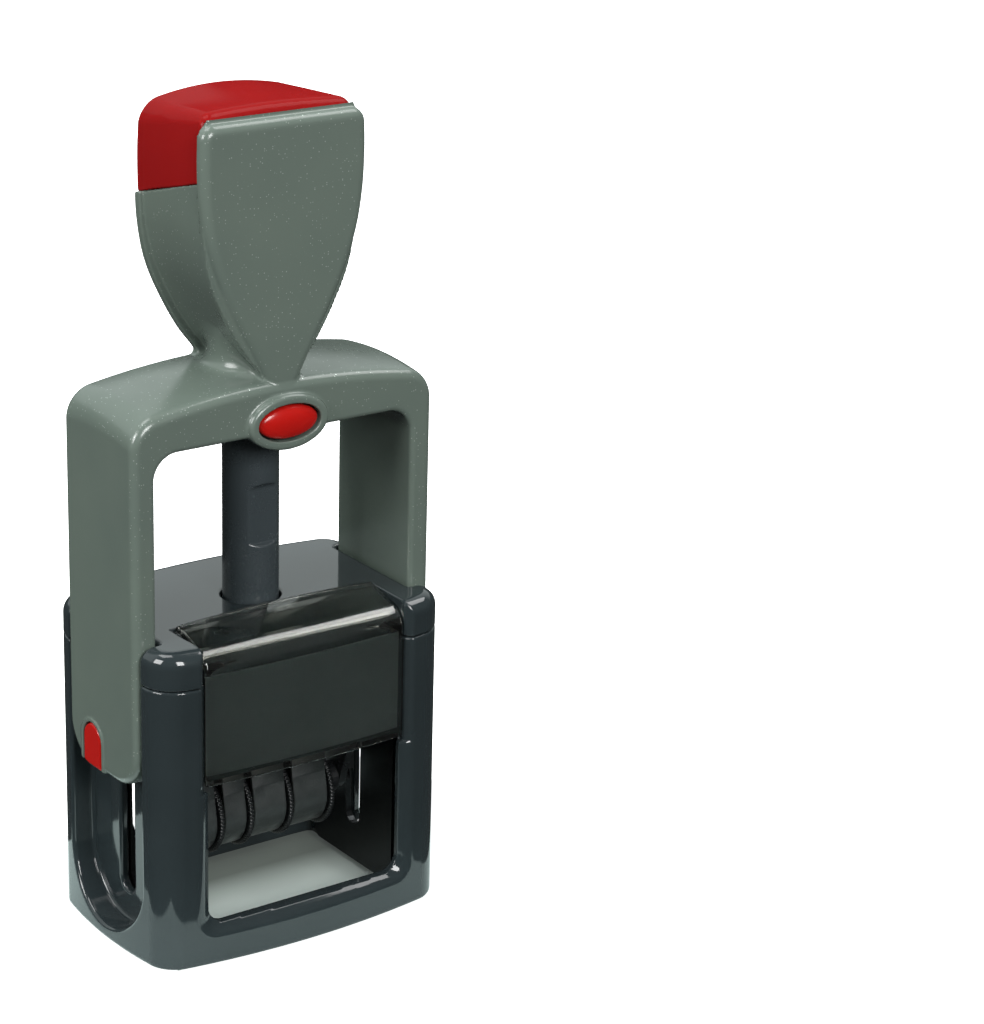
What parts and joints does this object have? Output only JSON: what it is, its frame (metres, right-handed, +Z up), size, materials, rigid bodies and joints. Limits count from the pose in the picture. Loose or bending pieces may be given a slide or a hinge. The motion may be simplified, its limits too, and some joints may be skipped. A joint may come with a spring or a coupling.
{
  "type": "rotary date stamp",
  "caption": "Free-standing self-inking date stamp: press the handle down the base and the print unit flips from the ink pad to the paper; toothed wheels set the date bands.",
  "frame": {"origin": "middle of the base outline, on the surface that the stamp stands on", "axes": "+Z up, -Y the front with the index window and the lock button, +X to the right seen from the front"},
  "size_m": [0.0672, 0.0462, 0.1633],
  "materials": {
    "grey_fleck": "grey-green moulding with fine metallic flecks, gloss",
    "dark_casing": "dark blue-grey moulding, gloss",
    "red_plastic": "deep red moulding, gloss",
    "clear_plastic": "clear moulding, polished",
    "card": "dark index card",
    "black_plastic": "black moulding, satin",
    "rubber": "dark grey rubber, slightly shiny",
    "ink_foam": "ink-soaked felt",
    "steel": "bright drawn steel"
  },
  "bodies": {
    "base": {"lower_frame": "dark_casing", "top_cover": "dark_casing", "front_cover": "clear_plastic", "index_card": "card", "guide_column": "dark_casing", "column_screw_left": "steel", "column_screw_right": "steel", "cam_plate_left": "steel", "cam_plate_right": "steel", "return_spring": "steel"},
    "handle": {"handle_frame": "grey_fleck", "handle_cap": "red_plastic", "leg_insert_left": "red_plastic", "leg_insert_right": "red_plastic", "axle_pin_left": "steel", "axle_pin_right": "steel", "spring_guide": "black_plastic", "button_spring": "steel"},
    "lock": {"lock_button": "red_plastic"},
    "print_unit": {"swivel_frame": "black_plastic", "text_plate": "black_plastic", "text_die": "rubber", "band_bridge": "black_plastic", "wheel_axle": "steel", "axle_spacer": "black_plastic", "wheel_clip_left": "steel", "wheel_clip_right": "steel", "cam_pin_left": "steel", "cam_pin_right": "steel", "band_day_tens": "rubber", "band_day_units": "rubber", "band_month": "rubber", "band_year": "rubber"},
    "pad_drawer": {"ink_pad_tray": "black_plastic", "ink_pad": "ink_foam"},
    "day_tens_setter": {"wheel_day_tens": "black_plastic"},
    "day_units_setter": {"wheel_day_units": "black_plastic"},
    "month_setter": {"wheel_month": "black_plastic"},
    "year_setter": {"wheel_year": "black_plastic"}
  },
  "joints": [
    {"name": "press_slide", "type": "slide", "parent": "base", "child": "handle", "axis": [0, 0, -1], "range_m": [0, 0.028], "stiffness_N_per_m": 700, "springref_m": -0.008, "deforming": ["return_spring"]},
    {"name": "flip_hinge", "type": "hinge", "parent": "handle", "child": "print_unit", "pos_m": [0, 0, 0.04], "axis": [1, 0, 0], "range_deg": [0, 180]},
    {"name": "lock_button_slide", "type": "slide", "parent": "handle", "child": "lock", "axis": [0, 1, 0], "range_m": [0, 0.0022], "stiffness_N_per_m": 150, "springref_m": -0.001, "deforming": ["button_spring"]},
    {"name": "ink_pad_slide", "type": "slide", "parent": "base", "child": "pad_drawer", "axis": [0, 1, 0], "range_m": [0, 0.034]},
    {"name": "day_tens_spin", "type": "hinge", "parent": "print_unit", "child": "day_tens_setter", "pos_m": [0, 0, 0.0215], "axis": [1, 0, 0], "continuous": true},
    {"name": "day_units_spin", "type": "hinge", "parent": "print_unit", "child": "day_units_setter", "pos_m": [0, 0, 0.0215], "axis": [1, 0, 0], "continuous": true},
    {"name": "month_spin", "type": "hinge", "parent": "print_unit", "child": "month_setter", "pos_m": [0, 0, 0.0215], "axis": [1, 0, 0], "continuous": true},
    {"name": "year_spin", "type": "hinge", "parent": "print_unit", "child": "year_setter", "pos_m": [0, 0, 0.0215], "axis": [1, 0, 0], "continuous": true}
  ],
  "couplings": [
    {"joint": "flip_hinge", "follows": "press_slide", "rad_per_m": 112.19}
  ]
}
